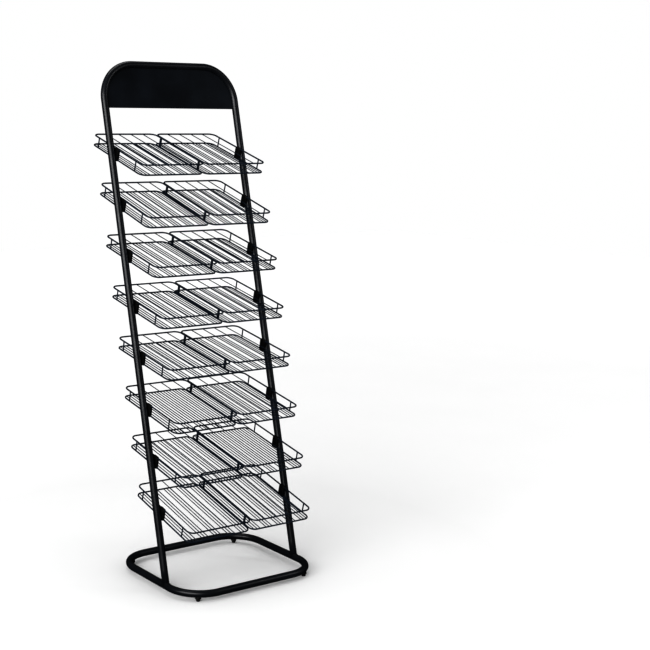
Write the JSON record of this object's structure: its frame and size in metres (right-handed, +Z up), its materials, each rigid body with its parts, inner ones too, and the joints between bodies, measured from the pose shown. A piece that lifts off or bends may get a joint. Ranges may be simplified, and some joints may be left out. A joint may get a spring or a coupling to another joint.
{
  "type": "brochure rack",
  "caption": "Leaning tubular floor rack with a header panel and tiers of paired wire pockets that tilt between its uprights.",
  "frame": {"origin": "on the floor, at the centre of the bounding box", "axes": "+X to the rack's right seen from the front, +Y to its rear, +Z up"},
  "size_m": [0.512, 0.6142, 1.5966],
  "materials": {
    "frame_hoop": "black powder coat, satin",
    "base_loop": "black powder coat, satin",
    "header_panel": "black powder coat, satin",
    "glide_front_left": "matte moulded",
    "glide_front_right": "matte moulded",
    "glide_rear_left": "matte moulded",
    "glide_rear_right": "matte moulded",
    "tier_1_rim_left": "black powder-coated wire",
    "tier_1_tray_left": "black powder-coated wire",
    "tier_1_bracket_left": "matte moulded",
    "tier_1_rim_right": "black powder-coated wire",
    "tier_1_tray_right": "black powder-coated wire",
    "tier_1_bracket_right": "matte moulded",
    "tier_2_rim_left": "black powder-coated wire",
    "tier_2_tray_left": "black powder-coated wire",
    "tier_2_bracket_left": "matte moulded",
    "tier_2_rim_right": "black powder-coated wire",
    "tier_2_tray_right": "black powder-coated wire",
    "tier_2_bracket_right": "matte moulded",
    "tier_3_rim_left": "black powder-coated wire",
    "tier_3_tray_left": "black powder-coated wire",
    "tier_3_bracket_left": "matte moulded",
    "tier_3_rim_right": "black powder-coated wire",
    "tier_3_tray_right": "black powder-coated wire",
    "tier_3_bracket_right": "matte moulded",
    "tier_4_rim_left": "black powder-coated wire",
    "tier_4_tray_left": "black powder-coated wire",
    "tier_4_bracket_left": "matte moulded",
    "tier_4_rim_right": "black powder-coated wire",
    "tier_4_tray_right": "black powder-coated wire",
    "tier_4_bracket_right": "matte moulded",
    "tier_5_rim_left": "black powder-coated wire",
    "tier_5_tray_left": "black powder-coated wire",
    "tier_5_bracket_left": "matte moulded",
    "tier_5_rim_right": "black powder-coated wire",
    "tier_5_tray_right": "black powder-coated wire",
    "tier_5_bracket_right": "matte moulded",
    "tier_6_rim_left": "black powder-coated wire",
    "tier_6_tray_left": "black powder-coated wire",
    "tier_6_bracket_left": "matte moulded",
    "tier_6_rim_right": "black powder-coated wire",
    "tier_6_tray_right": "black powder-coated wire",
    "tier_6_bracket_right": "matte moulded",
    "tier_7_rim_left": "black powder-coated wire",
    "tier_7_tray_left": "black powder-coated wire",
    "tier_7_bracket_left": "matte moulded",
    "tier_7_rim_right": "black powder-coated wire",
    "tier_7_tray_right": "black powder-coated wire",
    "tier_7_bracket_right": "matte moulded",
    "tier_8_rim_left": "black powder-coated wire",
    "tier_8_tray_left": "black powder-coated wire",
    "tier_8_bracket_left": "matte moulded",
    "tier_8_rim_right": "black powder-coated wire",
    "tier_8_tray_right": "black powder-coated wire",
    "tier_8_bracket_right": "matte moulded"
  },
  "bodies": {
    "stand": {"frame_hoop": "frame_hoop", "base_loop": "base_loop", "header_panel": "header_panel", "glide_front_left": "glide_front_left", "glide_front_right": "glide_front_right", "glide_rear_left": "glide_rear_left", "glide_rear_right": "glide_rear_right"},
    "tier_1": {"tier_1_rim_left": "tier_1_rim_left", "tier_1_tray_left": "tier_1_tray_left", "tier_1_bracket_left": "tier_1_bracket_left", "tier_1_rim_right": "tier_1_rim_right", "tier_1_tray_right": "tier_1_tray_right", "tier_1_bracket_right": "tier_1_bracket_right"},
    "tier_2": {"tier_2_rim_left": "tier_2_rim_left", "tier_2_tray_left": "tier_2_tray_left", "tier_2_bracket_left": "tier_2_bracket_left", "tier_2_rim_right": "tier_2_rim_right", "tier_2_tray_right": "tier_2_tray_right", "tier_2_bracket_right": "tier_2_bracket_right"},
    "tier_3": {"tier_3_rim_left": "tier_3_rim_left", "tier_3_tray_left": "tier_3_tray_left", "tier_3_bracket_left": "tier_3_bracket_left", "tier_3_rim_right": "tier_3_rim_right", "tier_3_tray_right": "tier_3_tray_right", "tier_3_bracket_right": "tier_3_bracket_right"},
    "tier_4": {"tier_4_rim_left": "tier_4_rim_left", "tier_4_tray_left": "tier_4_tray_left", "tier_4_bracket_left": "tier_4_bracket_left", "tier_4_rim_right": "tier_4_rim_right", "tier_4_tray_right": "tier_4_tray_right", "tier_4_bracket_right": "tier_4_bracket_right"},
    "tier_5": {"tier_5_rim_left": "tier_5_rim_left", "tier_5_tray_left": "tier_5_tray_left", "tier_5_bracket_left": "tier_5_bracket_left", "tier_5_rim_right": "tier_5_rim_right", "tier_5_tray_right": "tier_5_tray_right", "tier_5_bracket_right": "tier_5_bracket_right"},
    "tier_6": {"tier_6_rim_left": "tier_6_rim_left", "tier_6_tray_left": "tier_6_tray_left", "tier_6_bracket_left": "tier_6_bracket_left", "tier_6_rim_right": "tier_6_rim_right", "tier_6_tray_right": "tier_6_tray_right", "tier_6_bracket_right": "tier_6_bracket_right"},
    "tier_7": {"tier_7_rim_left": "tier_7_rim_left", "tier_7_tray_left": "tier_7_tray_left", "tier_7_bracket_left": "tier_7_bracket_left", "tier_7_rim_right": "tier_7_rim_right", "tier_7_tray_right": "tier_7_tray_right", "tier_7_bracket_right": "tier_7_bracket_right"},
    "tier_8": {"tier_8_rim_left": "tier_8_rim_left", "tier_8_tray_left": "tier_8_tray_left", "tier_8_bracket_left": "tier_8_bracket_left", "tier_8_rim_right": "tier_8_rim_right", "tier_8_tray_right": "tier_8_tray_right", "tier_8_bracket_right": "tier_8_bracket_right"}
  },
  "joints": [
    {"name": "tier_1_tilt", "type": "hinge", "parent": "stand", "child": "tier_1", "pos_m": [0, 0.15471, 1.31165], "axis": [1, 0, 0], "range_deg": [-16.2, 13.8]},
    {"name": "tier_2_tilt", "type": "hinge", "parent": "stand", "child": "tier_2", "pos_m": [0, 0.1161, 1.15793], "axis": [1, 0, 0], "range_deg": [-16.6, 13.4]},
    {"name": "tier_3_tilt", "type": "hinge", "parent": "stand", "child": "tier_3", "pos_m": [0, 0.07749, 1.0042], "axis": [1, 0, 0], "range_deg": [-13.4, 16.6]},
    {"name": "tier_4_tilt", "type": "hinge", "parent": "stand", "child": "tier_4", "pos_m": [0, 0.03887, 0.85048], "axis": [1, 0, 0], "range_deg": [-11.8, 18.2]},
    {"name": "tier_5_tilt", "type": "hinge", "parent": "stand", "child": "tier_5", "pos_m": [0, 0.00026, 0.69676], "axis": [1, 0, 0], "range_deg": [-10.2, 19.8]},
    {"name": "tier_6_tilt", "type": "hinge", "parent": "stand", "child": "tier_6", "pos_m": [0, -0.03835, 0.54303], "axis": [1, 0, 0], "range_deg": [-10.8, 19.2]},
    {"name": "tier_7_tilt", "type": "hinge", "parent": "stand", "child": "tier_7", "pos_m": [0, -0.07697, 0.38931], "axis": [1, 0, 0], "range_deg": [-11.8, 18.2]},
    {"name": "tier_8_tilt", "type": "hinge", "parent": "stand", "child": "tier_8", "pos_m": [0, -0.11558, 0.23558], "axis": [1, 0, 0], "range_deg": [-14.2, 15.8]}
  ]
}
